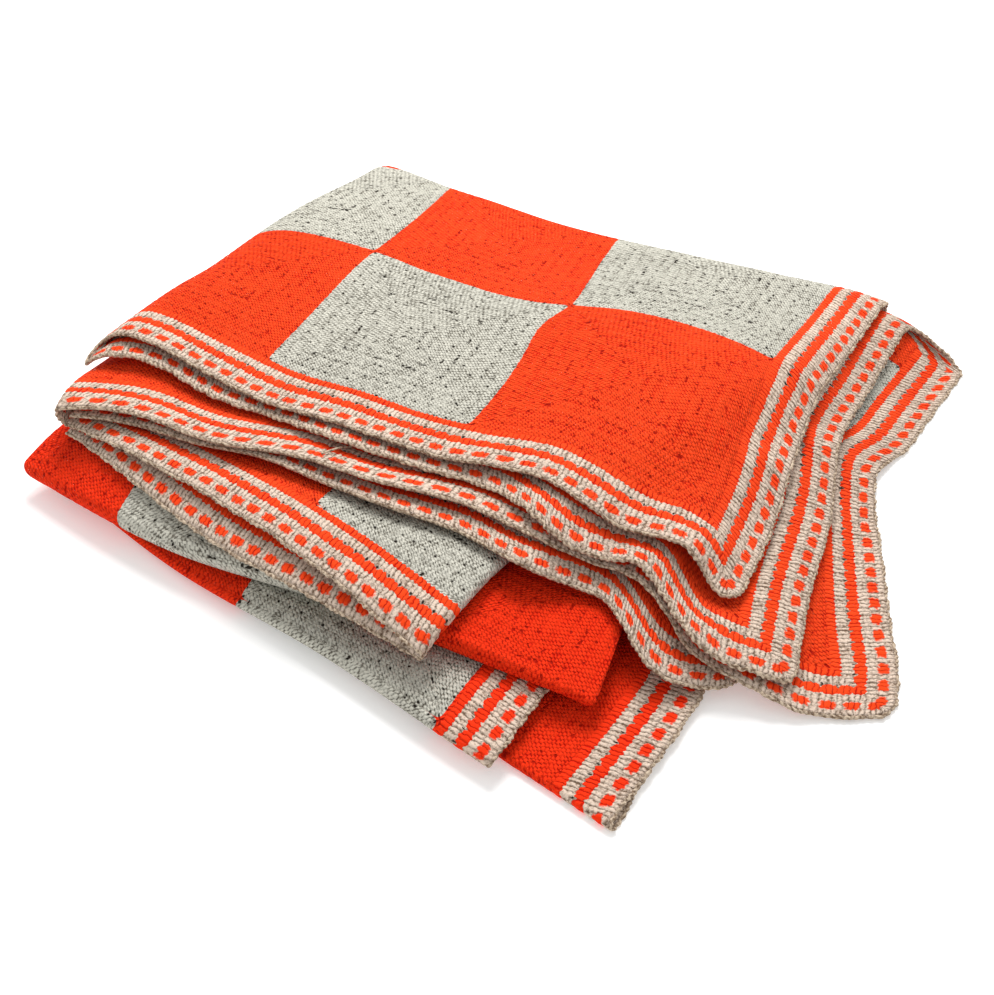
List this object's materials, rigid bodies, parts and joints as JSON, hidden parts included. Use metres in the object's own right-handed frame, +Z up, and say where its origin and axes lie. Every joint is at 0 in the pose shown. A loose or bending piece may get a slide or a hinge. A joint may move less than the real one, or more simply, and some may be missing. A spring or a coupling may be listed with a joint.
{
  "type": "folded granny square blanket",
  "caption": "Crocheted patchwork blanket of orange-red and light grey squares with a striped border, folded into a loose pile of layers.",
  "frame": {"origin": "middle of the folded pile's footprint, on the floor", "axes": "+X along the near side towards the four corners of the cloth, +Y away from the near side, +Z up"},
  "size_m": [0.8739, 0.803, 0.102],
  "materials": {
    "crochet": "matt crocheted yarn, orange-red and light warm grey squares in a checkerboard with a striped border"
  },
  "bodies": {
    "root": {"blanket": "crochet"}
  },
  "joints": []
}
